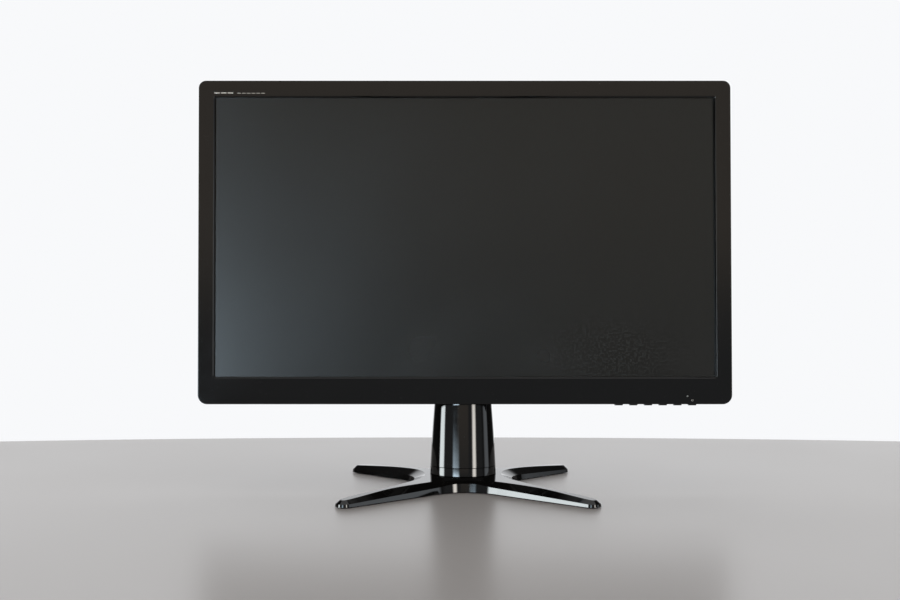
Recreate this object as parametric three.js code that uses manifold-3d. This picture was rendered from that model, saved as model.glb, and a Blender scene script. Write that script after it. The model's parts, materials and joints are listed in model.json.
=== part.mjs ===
// A 21.5-inch desktop monitor on a four-legged stand that tilts.
// Millimetres. +X is the viewer's right, +Y points away from the viewer, +Z is up.
// The origin is on the table, under the middle of the whole object.
import * as THREE from 'three';
import { mergeVertices } from 'three/addons/utils/BufferGeometryUtils.js';
import Module from 'manifold-3d';

const wasm = await Module();
wasm.setup();

// ---------------------------------------------------------------- driving dimensions

const GAP = 0.3; // clearance between pieces that touch
const COVER_WALL = 2.2; // thickness of the moulded covers
const SIDES = 16; // sides of a small round piece

// The panel is drawn in its own frame: X across, Y from its face towards its back, Z up its face.
const TILT = THREE.MathUtils.degToRad(5); // lean of the panel at rest
const PANEL_Y = -18; // the face at its lower edge, in the object's frame
const PANEL_Z = 84.5;
const PANEL = { half: 255, height: 310, bottomRadius: 9, topRadius: 7 };
const WINDOW = { half: 239.2, bottom: 26, top: 293.9, slope: 2 }; // the lip round the screen
const BEZEL_BACK = 11;
const LIP_BACK = 2.4;

// Rear cover
const BACK = 18; // its flat rim
const BULGE_BACK = 42; // the box that holds the electronics
const BULGE_BOTTOM = 24;
const CHANNEL = { half: 33, floor: 17.5, bottom: 10, top: 96 }; // room for the column
const PAD = { half: 58, middle: 155, height: 0.8 }; // flat face for a wall or arm bracket
const PAD_HOLE = { half: 50, radius: 2.2 };
const COVER_SCREWS = [[-116, 56], [116, 56], [-110, 206], [110, 206]];
const VENT = { pitch: 8, width: 3.2, reach: 96 };

// Liquid-crystal module, whose pieces are centred on the window
const MODULE = { half: 247.8, bottom: 13.7, top: 305.9, sheet: 0.8 };

// Sockets on the underside of the bulge: their middle across the panel
const INLET_X = -80;
const VGA_X = 57.5;
const DVI_X = 95;

// Keys along the lower edge
const KEYS = { count: 6, first: 147.1, pitch: 14.05, width: 7.9, depth: 3.6, proud: 1.2, front: 3.2 };
const POWER_LAMP = { x: 212.3, z: 7.7, radius: 0.9 };

// Tilting hinge, in the object's frame
const HINGE = { y: 33, z: 152 };
const SHAFT_RADIUS = 3.5;
const EAR = { inner: 23.8, outer: 26.3, radius: 9 };
const CHEEK = { inner: 11.6, outer: 13.8, radius: 6.8 }; // the upright's two sides

// Column: an ellipse that narrows and moves back as it rises
const COLUMN = { foot: 11, collarTop: 19.3, top: 168, wall: 2.2 };

// Base star
const STAR = { bottom: 1, wall: 1.8, top: 11 };
const FRONT_TIP = { x: 112.5, y: -91.5, radius: 8.5 };
const REAR_TIP = { x: 102.3, y: 91.5, radius: 8.5 };
const PLATE = { bottom: 1.3, top: 2.8, inset: 3 };
const FOOT = { radius: 6, top: 1 };
const BASE_SCREW_Y = 24;

// ---------------------------------------------------------------- finishes

const finish = (color, roughness, metalness = 0) =>
  new THREE.MeshStandardMaterial({ color, roughness, metalness });

const GLOSS_BLACK = finish(0x141312, 0.12);
const SATIN_BLACK = finish(0x1b1b1c, 0.5);
const SCREEN = finish(0x34373a, 0.42);
const CLEAR = finish(0xdfe6ea, 0.1);
const SHEETS = finish(0xe8e8e4, 0.6);
const STEEL = finish(0xa6a8aa, 0.38, 1);
const BRIGHT_STEEL = finish(0xc4c6c8, 0.25, 1);
const ALUMINIUM = finish(0xb4b7ba, 0.45, 1);
const BOARD = finish(0x1d5a36, 0.55);
const RUBBER = finish(0x111111, 0.9);
const YELLOW_TAPE = finish(0xd9b13a, 0.6);

// ---------------------------------------------------------------- solids

function toSolid(geometry) {
  const bare = geometry.clone();
  bare.deleteAttribute('normal');
  bare.deleteAttribute('uv');
  const merged = mergeVertices(bare, 1e-4);
  return new wasm.Manifold(new wasm.Mesh({
    numProp: 3,
    vertProperties: new Float32Array(merged.attributes.position.array),
    triVerts: new Uint32Array(merged.index.array),
  }));
}

function toGeometry(solid) {
  const mesh = solid.getMesh();
  const geometry = new THREE.BufferGeometry();
  geometry.setAttribute('position', new THREE.BufferAttribute(mesh.vertProperties, 3));
  geometry.setIndex(new THREE.BufferAttribute(mesh.triVerts, 1));
  geometry.computeVertexNormals();
  return geometry;
}

const join = (...solids) => solids.reduce((whole, next) => whole.add(next));
const cut = (solid, ...tools) => tools.reduce((rest, tool) => rest.subtract(tool), solid);

function box([x0, x1], [y0, y1], [z0, z1]) {
  const geometry = new THREE.BoxGeometry(x1 - x0, y1 - y0, z1 - z0);
  geometry.translate((x0 + x1) / 2, (y0 + y1) / 2, (z0 + z1) / 2);
  return toSolid(geometry);
}

// A cylinder stands on +Y; turns carry it to the other axes.
function rod(radius, from, to, sides = SIDES) {
  const geometry = new THREE.CylinderGeometry(radius, radius, to - from, sides);
  geometry.translate(0, (from + to) / 2, 0);
  return geometry;
}
const rodY = (radius, [y0, y1], x, z, sides) =>
  toSolid(rod(radius, y0, y1, sides).translate(x, 0, z));
const rodZ = (radius, [z0, z1], x, y, sides) =>
  toSolid(rod(radius, z0, z1, sides).rotateX(Math.PI / 2).translate(x, y, 0));
const rodX = (radius, [x0, x1], y, z, sides) =>
  toSolid(rod(radius, x0, x1, sides).rotateZ(-Math.PI / 2).translate(0, y, z));

// A shape drawn in X and Z, from depth y0 to depth y1.
function plate(shape, [y0, y1], curveSegments = 5) {
  const options = { depth: y1 - y0, bevelEnabled: false, curveSegments };
  const geometry = new THREE.ExtrudeGeometry(shape, options);
  return toSolid(geometry.rotateX(Math.PI / 2).translate(0, y1, 0));
}

// A polygon drawn in Y and Z, along X.
function beam(points, [x0, x1]) {
  const shape = new THREE.Shape(points.map(([y, z]) => new THREE.Vector2(y, z)));
  const geometry = new THREE.ExtrudeGeometry(shape, { depth: x1 - x0, bevelEnabled: false });
  const [x, y, z] = [0, 1, 2].map((i) => new THREE.Vector3().setComponent(i, 1));
  geometry.applyMatrix4(new THREE.Matrix4().makeBasis(y, z, x));
  return toSolid(geometry.translate(x0, 0, 0));
}

// A polygon or shape drawn in X and Y, standing on Z.
function slab(shape, [z0, z1]) {
  const geometry = new THREE.ExtrudeGeometry(shape, { depth: z1 - z0, bevelEnabled: false });
  return toSolid(geometry.translate(0, 0, z0));
}

// A rounded rectangle in X and Z, with its own radius at its lower and upper corners.
function rectangle(x0, x1, z0, z1, lower = 0, upper = lower) {
  const shape = new THREE.Shape();
  if (lower === 0) {
    shape.moveTo(x0, z0).lineTo(x1, z0).lineTo(x1, z1).lineTo(x0, z1);
    return shape;
  }
  const quarter = Math.PI / 2;
  shape.absarc(x1 - lower, z0 + lower, lower, -quarter, 0);
  shape.absarc(x1 - upper, z1 - upper, upper, 0, quarter);
  shape.absarc(x0 + upper, z1 - upper, upper, quarter, 2 * quarter);
  shape.absarc(x0 + lower, z0 + lower, lower, 2 * quarter, 3 * quarter);
  return shape;
}

// A closed body through rings that have the same number of points.
// flatten gives a point's place in the plane in which the two end rings are filled.
function loft(rings, flatten) {
  const count = rings[0].length;
  const last = (rings.length - 1) * count;
  const triangles = [];
  for (let start = 0; start < last; start += count) {
    for (let i = 0; i < count; i++) {
      const [a, b] = [start + i, start + ((i + 1) % count)];
      triangles.push([a, b, b + count], [a, b + count, a + count]);
    }
  }
  const fill = (ring) => THREE.ShapeUtils.triangulateShape(ring.map(flatten), []);
  fill(rings[0]).forEach(([a, b, c]) => triangles.push([c, b, a]));
  fill(rings.at(-1)).forEach((corners) => triangles.push(corners.map((i) => last + i)));
  return outward(rings.flat(), triangles);
}

// Turns every triangle over if the body came out inside out.
function outward(points, triangles) {
  const volume = triangles.reduce((sum, [a, b, c]) =>
    sum + points[a].dot(new THREE.Vector3().crossVectors(points[b], points[c])), 0);
  const facing = volume < 0 ? triangles.map(([a, b, c]) => [c, b, a]) : triangles;
  return new wasm.Manifold(new wasm.Mesh({
    numProp: 3,
    vertProperties: new Float32Array(points.flatMap((p) => [p.x, p.y, p.z])),
    triVerts: new Uint32Array(facing.flat()),
  }));
}

const acrossPanel = (p) => new THREE.Vector2(p.x, p.z);
const fromAbove = (p) => new THREE.Vector2(p.x, p.y);

// The outline of a rounded rectangle at one depth of the panel.
function ring(y, half, z0, z1, lower, upper = lower) {
  const points = rectangle(-half, half, z0, z1, lower, upper).getPoints(5);
  const same = points[0].distanceTo(points.at(-1)) < 1e-6;
  return (same ? points.slice(0, -1) : points).map((p) => new THREE.Vector3(p.x, y, p.y));
}
const layers = (...rings) => loft(rings.map((values) => ring(...values)), acrossPanel);

// ---------------------------------------------------------------- groups and pieces

const monitor = new THREE.Group();
const stand = new THREE.Group();
const panel = new THREE.Group();
panel.position.set(0, PANEL_Y, PANEL_Z);
panel.rotation.x = -TILT;
monitor.add(stand, panel);

function add(group, name, solid, material) {
  const mesh = new THREE.Mesh(toGeometry(solid), material);
  mesh.name = name;
  group.add(mesh);
}

// The hinge axis in the panel's own frame
const hingeInPanel = new THREE.Vector3(0, HINGE.y - PANEL_Y, HINGE.z - PANEL_Z)
  .applyAxisAngle(new THREE.Vector3(1, 0, 0), TILT);

// ---------------------------------------------------------------- panel: covers

const keyX = (index) => KEYS.first + index * KEYS.pitch;

function keySlot(x) {
  const side = KEYS.width / 2 + 0.35;
  const front = KEYS.front - 0.35;
  return box([x - side, x + side], [front, KEYS.front + KEYS.depth + 0.35], [-1, COVER_WALL + 1]);
}

// The window narrows from the face to the lip, which rests close to the screen.
function windowCut() {
  const { half, bottom, top, slope } = WINDOW;
  const spread = slope * 1.5;
  const funnel = layers([-slope / 2, half + spread, bottom - spread, top + spread, 1],
    [slope, half, bottom, top, 1]);
  return join(funnel, plate(rectangle(-half, half, bottom, top, 1), [slope - 0.1, LIP_BACK + 1]));
}

function frontBezel() {
  const { half, height, bottomRadius, topRadius } = PANEL;
  const block = plate(rectangle(-half, half, 0, height, bottomRadius, topRadius), [0, BEZEL_BACK]);
  const inner = half - COVER_WALL;
  const hollow = plate(rectangle(-inner, inner, COVER_WALL, height - COVER_WALL, 7, 5),
    [LIP_BACK, BEZEL_BACK + 1]);
  const lampHole = rodY(POWER_LAMP.radius + GAP, [-1, 5], POWER_LAMP.x, POWER_LAMP.z, 12);
  const slots = Array.from({ length: KEYS.count }, (_, i) => keySlot(keyX(i)));
  return cut(block, hollow, windowCut(), lampHole, ...slots);
}

function coverShell() {
  const seam = BEZEL_BACK + GAP;
  const rim = layers(
    [seam, PANEL.half, 0, PANEL.height, PANEL.bottomRadius, PANEL.topRadius],
    [seam + 1.3, PANEL.half - 0.4, 0.5, PANEL.height - 0.5, PANEL.bottomRadius, PANEL.topRadius],
    [BACK, PANEL.half - 8, 20, PANEL.height - 7, 12]);
  const bulge = layers(
    [BACK - 1, 137, BULGE_BOTTOM, 237, 14], [BULGE_BACK, 124, BULGE_BOTTOM, 222, 14]);
  const rimInside = layers(
    [seam - 0.8, PANEL.half - 2.2, 2.2, PANEL.height - 2.2, 7, 5.5],
    [BACK - 2.2, PANEL.half - 9.6, 20.2, PANEL.height - 8.4, 11]);
  const bulgeInside = layers(
    [BACK - 3, 136, BULGE_BOTTOM + COVER_WALL, 235.5, 12],
    [BULGE_BACK - COVER_WALL, 121.9, BULGE_BOTTOM + COVER_WALL, 219.9, 12]);
  return cut(join(rim, bulge), rimInside, bulgeInside);
}

function columnChannel() {
  const outer = CHANNEL.half + COVER_WALL;
  const walls = box([-outer, outer], [CHANNEL.floor - COVER_WALL, BULGE_BACK - 0.01],
    [BULGE_BOTTOM + 0.01, CHANNEL.top + COVER_WALL]);
  const room = box([-CHANNEL.half, CHANNEL.half], [CHANNEL.floor, BULGE_BACK + 20],
    [CHANNEL.bottom, CHANNEL.top]);
  return { walls, room };
}

function socketCutouts() {
  const reach = [BULGE_BOTTOM - 1, BULGE_BOTTOM + COVER_WALL + 1];
  const inlet = box([INLET_X - 14.3, INLET_X + 14.3], [19.6, 39.3], reach);
  const vga = box([VGA_X - 15.7, VGA_X + 15.7], [21.6, 34.7], reach);
  const dvi = box([DVI_X - 18.8, DVI_X + 18.8], [21.6, 36.3], reach);
  const lock = box([-118, -111], [26, 29], reach);
  return [inlet, vga, dvi, lock];
}

function ventSlots() {
  const slots = [];
  for (let x = -VENT.reach; x <= VENT.reach; x += VENT.pitch) {
    slots.push(box([x - VENT.width / 2, x + VENT.width / 2], [21.5, 38], [212, 245]));
  }
  return slots;
}

function rearCover() {
  const channel = columnChannel();
  const pad = plate(rectangle(-PAD.half, PAD.half, PAD.middle - PAD.half, PAD.middle + PAD.half, 4),
    [BULGE_BACK - 1, BULGE_BACK + PAD.height]);
  const bosses = COVER_SCREWS.map(([x, z]) => rodY(4.5, [12.2, BULGE_BACK - 1], x, z));
  const boreholes = COVER_SCREWS.flatMap(([x, z]) =>
    [rodY(1.9, [0, 50], x, z, 12), rodY(3.6, [38.5, 50], x, z)]);
  const padHoles = padCorners().map(([x, z]) => rodY(PAD_HOLE.radius, [35, 50], x, z, 12));
  const screwHoles = hingeScrewPlaces().map(([x, z]) => rodY(2.3, [10, 20], x, z, 12));
  const body = join(coverShell(), channel.walls, pad, ...bosses);
  return cut(body, channel.room, ...socketCutouts(), ...ventSlots(), ...boreholes, ...padHoles,
    ...screwHoles);
}

function padCorners() {
  const { half } = PAD_HOLE;
  return [-half, half].flatMap((x) => [-half, half].map((z) => [x, PAD.middle + z]));
}

function hingeScrewPlaces() {
  return [-14, 14].flatMap((x) => [56, 88].map((z) => [x, z]));
}

// A screw along Y whose head is towards the back.
function machineScrew(x, z, headRadius, shankRadius, tip, under, back) {
  const screw = join(rodY(headRadius, [under, back], x, z, 16),
    rodY(shankRadius, [tip, under + 0.1], x, z, 10));
  const cross = [[1.8, 0.35], [0.35, 1.8]].map(([a, b]) =>
    box([x - a, x + a], [back - 0.9, back + 1], [z - b, z + b]));
  return cut(screw, ...cross);
}

// ---------------------------------------------------------------- panel: screen module

function windowFrame() {
  const { half, bottom, top, sheet } = MODULE;
  const block = plate(rectangle(-half, half, bottom, top), [LIP_BACK + GAP, 10.6]);
  const opening = plate(rectangle(-240.8, 240.8, 24.2, 295.4), [0, 12]);
  const room = plate(rectangle(-half + sheet, half - sheet, bottom + sheet, top - sheet),
    [LIP_BACK + GAP + sheet, 12]);
  return cut(block, opening, room);
}

function ledStrip() {
  const strip = box([-236, 236], [6.2, 9.2], [16.4, 17.4]);
  const lamps = [];
  for (let i = 0; i < 24; i++) {
    const x = -230 + i * 20;
    lamps.push(box([x - 2.5, x + 2.5], [6.8, 8.6], [17.3, 18.9]));
  }
  return join(strip, ...lamps);
}

function backPlate() {
  const { half, bottom, top } = MODULE;
  const sheet = plate(rectangle(-half + 1.1, half - 1.1, bottom + 1.1, top - 1.1), [9.5, 10.3]);
  const windows = [-190, 190].map((x) =>
    plate(rectangle(x - 14, x + 14, 140, 180, 5), [9, 11], 3));
  return cut(sheet, ...windows);
}

function driverBoard() {
  const board = box([-150, 150], [10.9, 11.9], [284, 300]);
  const chips = [-120, -60, 60, 120].map((x) => box([x - 6, x + 6], [11.8, 12.8], [287, 297]));
  return join(board, ...chips);
}

// ---------------------------------------------------------------- panel: chassis and boards

function mainChassis() {
  const sheet = plate(rectangle(-122, 122, 30, 228), [10.7, 11.9]);
  const doubler = box([-31, 31], [11.8, CHANNEL.floor - COVER_WALL - GAP], [48, 98]);
  const posts = padCorners().map(([x, z]) =>
    rodY(4, [11.8, BULGE_BACK - COVER_WALL - GAP], x, z, 8));
  const threads = padCorners().map(([x, z]) => rodY(1.8, [20, 50], x, z, 8));
  const standoffs = [[-106, 54], [-62, 54], [-106, 136], [-62, 136], [48, 48], [106, 48],
    [48, 94], [106, 94]].map(([x, z]) => rodY(2.2, [11.8, 19.7], x, z, 6));
  const holes = COVER_SCREWS.map(([x, z]) => rodY(1.9, [9, 13], x, z, 8));
  const hingeHoles = hingeScrewPlaces().map(([x, z]) => rodY(2.3, [12.4, 18], x, z, 8));
  return cut(join(sheet, doubler, ...posts, ...standoffs), ...threads, ...holes, ...hingeHoles);
}

function mainBoard() {
  const board = box([44, 110], [20, 21.6], [43, 98]);
  const chip = box([66, 84], [21.5, 23.4], [60, 78]);
  const small = [[52, 52], [98, 56], [98, 84], [54, 86]].map(([x, z]) =>
    box([x - 4, x + 4], [21.5, 23], [z - 3, z + 3]));
  const header = box([60, 84], [21.5, 25.5], [90, 95]);
  return join(board, chip, header, ...small);
}

function powerBoard() {
  const board = box([-110, -58], [20, 21.6], [50, 140]);
  const filter = box([-106, -92], [21.5, 33], [54, 66]);
  const chip = box([-76, -66], [21.5, 24.5], [124, 132]);
  return join(board, filter, chip);
}

function transformer() {
  const core = box([-88, -64], [22.2, 36], [98, 118]);
  const winding = box([-84, -68], [24.5, 37.5], [94, 122]);
  return join(core, winding);
}

function heatSink() {
  const spine = box([-107, -104.5], [21.9, 36], [92, 124]);
  const fins = [94, 101, 108, 115, 121].map((z) => box([-105, -94], [21.9, 36], [z, z + 1.4]));
  return join(spine, ...fins);
}

// A blind-mate socket: a housing inside the cover and a nose that shows in its cut-out.
function videoSocket(x, halfHousing, back, halfNose, rows, columns) {
  const nose = [BULGE_BOTTOM + 0.3, 30];
  const middle = (21.9 + back) / 2;
  const housing = box([x - halfHousing, x + halfHousing], [21.9, back], [29, 42.6]);
  const shell = beam([[middle - 4, nose[0]], [middle + 4, nose[0]], [middle + 4, nose[1]],
    [middle - 4, nose[1]]], [x - halfNose, x + halfNose]);
  const jacks = [-1, 1].map((side) =>
    rodZ(2.4, nose, x + side * (halfHousing - 2.9), middle, 6));
  const pins = [];
  for (let row = 0; row < rows; row++) {
    for (let column = 0; column < columns; column++) {
      const px = x + (column - (columns - 1) / 2) * 2.4;
      const py = middle + (row - (rows - 1) / 2) * 2;
      pins.push(box([px - 0.4, px + 0.4], [py - 0.4, py + 0.4], [nose[0] - 1, nose[0] + 3]));
    }
  }
  return cut(join(housing, shell, ...jacks), ...pins);
}

function powerInlet() {
  const mouth = BULGE_BOTTOM + GAP;
  const housing = box([INLET_X - 14, INLET_X + 14], [19.9, 39], [mouth, 44]);
  const cavity = box([INLET_X - 12, INLET_X + 12], [21.5, 37.5], [mouth - 1, 40]);
  const blades = [[-7, 28], [7, 28], [0, 32]].map(([dx, y]) =>
    box([INLET_X + dx - 1, INLET_X + dx + 1], [y, y + 4], [mouth + 5, 41]));
  return join(cut(housing, cavity), ...blades);
}

function ribbon() {
  const route = [[22.2, 99], [24, 99], [24, 104], [13, 128], [13, 284.2], [12.6, 284.2],
    [12.6, 127.7], [23.5, 103.6], [23.5, 99.5], [22.2, 99.5]];
  return beam(route, [62, 82]);
}

// ---------------------------------------------------------------- panel: keys

function keyBoard() {
  const board = box([140, 226], [3, 9.4], [8.3, 9.9]);
  const switches = Array.from({ length: KEYS.count }, (_, i) => {
    const x = keyX(i);
    return join(box([x - 3, x + 3], [3, 7.4], [5.2, 8.4]), rodZ(1.2, [4.2, 5.3], x, 5, 10));
  });
  return join(board, ...switches);
}

function key(index) {
  const x = keyX(index);
  const half = KEYS.width / 2;
  const back = KEYS.front + KEYS.depth;
  const cap = box([x - half, x + half], [KEYS.front, back], [-KEYS.proud, COVER_WALL + 0.4]);
  const flange = box([x - half - 0.9, x + half + 0.9], [LIP_BACK + 0.4, back + 0.7],
    [COVER_WALL + GAP, COVER_WALL + GAP + 0.9]);
  return join(cap, flange);
}

function addPanel() {
  add(panel, 'front_bezel', frontBezel(), GLOSS_BLACK);
  add(panel, 'rear_cover', rearCover(), SATIN_BLACK);
  add(panel, 'lcd_front_frame', windowFrame(), SATIN_BLACK);
  add(panel, 'lcd_glass', box([-246, 246], [3.8, 5], [17.6, 304]), SCREEN);
  add(panel, 'optical_sheets', box([-245, 245], [5.3, 5.9], [19, 303.6]), SHEETS);
  add(panel, 'light_guide_plate', box([-245, 245], [6.2, 9.2], [19.3, 303.6]), CLEAR);
  add(panel, 'led_strip', ledStrip(), ALUMINIUM);
  add(panel, 'lcd_back_plate', backPlate(), STEEL);
  add(panel, 'driver_board', driverBoard(), BOARD);
  add(panel, 'main_chassis', mainChassis(), STEEL);
  add(panel, 'main_board', mainBoard(), BOARD);
  add(panel, 'power_board', powerBoard(), BOARD);
  add(panel, 'transformer', transformer(), YELLOW_TAPE);
  add(panel, 'bulk_capacitor', rodZ(7, [70, 91], -96, 29.5), SATIN_BLACK);
  add(panel, 'heat_sink', heatSink(), ALUMINIUM);
  add(panel, 'vga_socket', videoSocket(VGA_X, 15.4, 34.4, 8.2, 3, 5), BRIGHT_STEEL);
  add(panel, 'dvi_socket', videoSocket(DVI_X, 18.5, 36, 12.2, 3, 8), BRIGHT_STEEL);
  add(panel, 'power_inlet', powerInlet(), SATIN_BLACK);
  add(panel, 'ribbon_cable', ribbon(), SHEETS);
  add(panel, 'key_board', keyBoard(), BOARD);
  add(panel, 'lamp_lens', rodY(POWER_LAMP.radius, [0, 2.7], POWER_LAMP.x, POWER_LAMP.z, 12), CLEAR);
  for (let i = 0; i < KEYS.count; i++) {
    add(panel, `button_${i + 1}`, key(i), GLOSS_BLACK);
  }
  COVER_SCREWS.forEach(([x, z], i) => {
    add(panel, `cover_screw_${i + 1}`, machineScrew(x, z, 3.2, 1.5, 10.9, 38.8, 41.2), STEEL);
  });
}

// ---------------------------------------------------------------- hinge

// The panel's half: a plate on the floor of the channel, with an ear on each side of the column.
function hingePlate() {
  const { y, z } = hingeInPanel;
  const front = CHANNEL.floor + GAP;
  const base = plate(rectangle(-31, 31, 50, 94, 3), [front, front + 2.5]);
  const outline = new THREE.Shape();
  outline.moveTo(front + 1, 52);
  outline.absarc(y, z, EAR.radius, -1.1, 1.1);
  outline.lineTo(front + 1, 92);
  const points = outline.getPoints(6).map((p) => [p.x, p.y]);
  const ears = [-1, 1].map((side) =>
    beam(points, side > 0 ? [EAR.inner, EAR.outer] : [-EAR.outer, -EAR.inner]));
  const bore = rodX(SHAFT_RADIUS + 0.4, [-40, 40], y, z);
  const holes = hingeScrewPlaces().map(([x, sz]) => rodY(2.3, [15, 25], x, sz, 12));
  return cut(join(base, ...ears), bore, ...holes);
}

function ringOnShaft(side, radius, [from, to], sides) {
  const span = side > 0 ? [from, to] : [-to, -from];
  const bore = rodX(SHAFT_RADIUS + GAP, [-50, 50], HINGE.y, HINGE.z);
  return cut(rodX(radius, span, HINGE.y, HINGE.z, sides), bore);
}

function hingeShaft(side) {
  const along = ([from, to]) => (side > 0 ? [from, to] : [-to, -from]);
  return join(rodX(SHAFT_RADIUS, along([9.5, 32]), HINGE.y, HINGE.z),
    rodX(5.5, along([9.5, CHEEK.inner - GAP]), HINGE.y, HINGE.z));
}

function addHinge() {
  add(panel, 'hinge_plate', hingePlate(), STEEL);
  hingeScrewPlaces().forEach(([x, z], i) => {
    add(panel, `hinge_screw_${i + 1}`, machineScrew(x, z, 4, 1.9, 12.8, 20.6, 22.8), STEEL);
  });
  for (const [side, word] of [[-1, 'left'], [1, 'right']]) {
    add(stand, `hinge_shaft_${word}`, hingeShaft(side), BRIGHT_STEEL);
    add(stand, `spring_washer_${word}`, ringOnShaft(side, 7, [26.7, 28], SIDES), BRIGHT_STEEL);
    add(stand, `hinge_nut_${word}`, ringOnShaft(side, 6.4, [28.3, 31.5], 6), BRIGHT_STEEL);
  }
}

// ---------------------------------------------------------------- column

// Half width, half depth and middle of the column at a height.
function columnSection(z) {
  const rise = z - COLUMN.foot;
  const crown = Math.max(0, (z - HINGE.z) / (COLUMN.top + 0.6 - HINGE.z));
  const round = Math.sqrt(1 - crown * crown);
  return {
    half: (32.9 - 0.04 * z - 0.00025 * z * z) * (0.6 + 0.4 * round),
    depth: (24.7 - 0.0794 * rise) * round,
    middle: 24 + 0.0638 * rise,
  };
}

function columnRing(z, inset, count = 30) {
  const { half, depth, middle } = columnSection(z);
  return Array.from({ length: count }, (_, i) => {
    const angle = (2 * Math.PI * i) / count;
    return new THREE.Vector3((half - inset) * Math.cos(angle),
      middle + (depth - inset) * Math.sin(angle), z);
  });
}

const columnBody = (heights, inset) =>
  loft(heights.map((z) => columnRing(z, inset)), fromAbove);

function baseCollar() {
  const { foot, collarTop, wall } = COLUMN;
  return cut(columnBody([foot + GAP, collarTop], 0), columnBody([foot - 1, collarTop + 1], wall));
}

function columnShell() {
  const { collarTop, wall } = COLUMN;
  const outer = columnBody([collarTop + GAP, 50, 85, 120, 152, 160, 165, 168], 0);
  const inner = columnBody([collarTop - 1, 50, 85, 120, 152, 161], wall);
  const shaftHole = rodX(4.6, [-40, 40], HINGE.y, HINGE.z);
  return cut(outer, inner, shaftHole);
}

// Everything behind the column's widest line, or in front of it.
function columnHalf(side) {
  const low = columnSection(0).middle;
  const high = columnSection(200).middle;
  const far = side * 80;
  const edge = side * GAP / 2;
  return beam([[low + edge, 0], [high + edge, 200], [high + far, 200], [low + far, 0]], [-60, 60]);
}

// The steel upright: a foot, a folded channel and two cheeks that carry the shafts.
function upright() {
  const foot = box([-20, 20], [12, 36], [COLUMN.foot + GAP, 14.3]);
  const lean = (z, dy) => [columnSection(z).middle + dy, z];
  const { inner, outer, radius } = CHEEK;
  const web = beam([lean(13, 3.4), lean(13, 5.4), lean(146, 5.4), lean(146, 3.4)], [-outer, outer]);
  const cheeks = [[-outer, -inner], [inner, outer]].map((span) => join(
    beam([lean(13, -5.4), lean(13, 5.4), lean(150, 5.4), lean(150, -5.4)], span),
    rodX(radius, span, HINGE.y, HINGE.z)));
  const boss = rodZ(6, [14.2, 22], 0, BASE_SCREW_Y, 16);
  const thread = rodZ(3.4, [10, 20], 0, BASE_SCREW_Y, 12);
  const bore = rodX(SHAFT_RADIUS + 0.4, [-20, 20], HINGE.y, HINGE.z);
  return cut(join(foot, web, ...cheeks, boss), thread, bore);
}

function addColumn() {
  const shell = columnShell();
  add(stand, 'base_collar', baseCollar(), GLOSS_BLACK);
  add(stand, 'column_front_shell', shell.intersect(columnHalf(-1)), GLOSS_BLACK);
  add(stand, 'column_rear_shell', shell.intersect(columnHalf(1)), GLOSS_BLACK);
  add(stand, 'column_upright', upright(), STEEL);
}

// ---------------------------------------------------------------- base

// One side of the star's outline, from the front of the hub round both legs to its back.
function halfOutline() {
  const path = new THREE.Path();
  path.moveTo(0, -24.3);
  path.quadraticCurveTo(13, -24.3, 26, -33.5);
  path.lineTo(FRONT_TIP.x - 5.1, FRONT_TIP.y - 6.8);
  path.absarc(FRONT_TIP.x, FRONT_TIP.y, FRONT_TIP.radius, -2.2, 0.75);
  path.quadraticCurveTo(76, -40, 54, -3);
  path.quadraticCurveTo(46, 16, 50, 30);
  path.quadraticCurveTo(51.5, 38, 60, 45.5);
  path.lineTo(REAR_TIP.x + 5.9, REAR_TIP.y - 6.1);
  path.absarc(REAR_TIP.x, REAR_TIP.y, REAR_TIP.radius, -0.7, 2.1);
  path.lineTo(30, 62);
  path.quadraticCurveTo(16, 56.5, 0, 56.5);
  return path.getPoints(6);
}

function starOutline() {
  const right = halfOutline().filter((p, i, all) => i === 0 || p.distanceTo(all[i - 1]) > 0.6);
  const left = right.slice(1, -1).reverse().map((p) => new THREE.Vector2(-p.x, p.y));
  return [...right, ...left];
}

// The outline moved inwards by a distance that each point chooses.
function insetOutline(points, distance) {
  return points.map((p, i) => {
    const before = points.at(i - 1);
    const after = points[(i + 1) % points.length];
    const along = after.clone().sub(before).normalize();
    return new THREE.Vector2(-along.y, along.x).multiplyScalar(distance(p)).add(p);
  });
}

const { lerp, smoothstep } = THREE.MathUtils;
const ridgeHeight = (p) => STAR.top - 0.00042 * Math.max(0, p.length() - 50) ** 2;
const arcBlend = (p) => 1 - smoothstep(Math.abs(p.x), 8, 26); // 1 in the middle of the hub's arcs
const wallHeight = (p) => 8 - 0.029 * p.length() + 1.6 * arcBlend(p);
const bevelWidth = (p) => lerp(lerp(11.3, 4.6, smoothstep(p.length(), 82, 142)), 6, arcBlend(p));

// The star's body: an upright wall, a wide bevel and a flat top that falls towards the tips.
function starBody(skin, bottom) {
  const outline = starOutline();
  const wall = insetOutline(outline, () => skin);
  const ridge = insetOutline(outline, (p) => bevelWidth(p) + skin * 0.3);
  const lift = (points, height) =>
    points.map((p, i) => new THREE.Vector3(p.x, p.y, height(outline[i])));
  return loft([lift(wall, () => bottom), lift(wall, (p) => wallHeight(p) - skin * 0.6),
    lift(ridge, (p) => ridgeHeight(p) - skin)], fromAbove);
}

function baseStar() {
  const screwHole = rodZ(3.6, [0, 20], 0, BASE_SCREW_Y, 12);
  return cut(starBody(0, STAR.bottom), starBody(STAR.wall, STAR.bottom - 1), screwHole);
}

function basePlate() {
  const shape = new THREE.Shape(insetOutline(starOutline(), () => PLATE.inset));
  const access = rodZ(12, [0, 5], 0, BASE_SCREW_Y);
  return cut(slab(shape, [PLATE.bottom, PLATE.top]), access);
}

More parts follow.
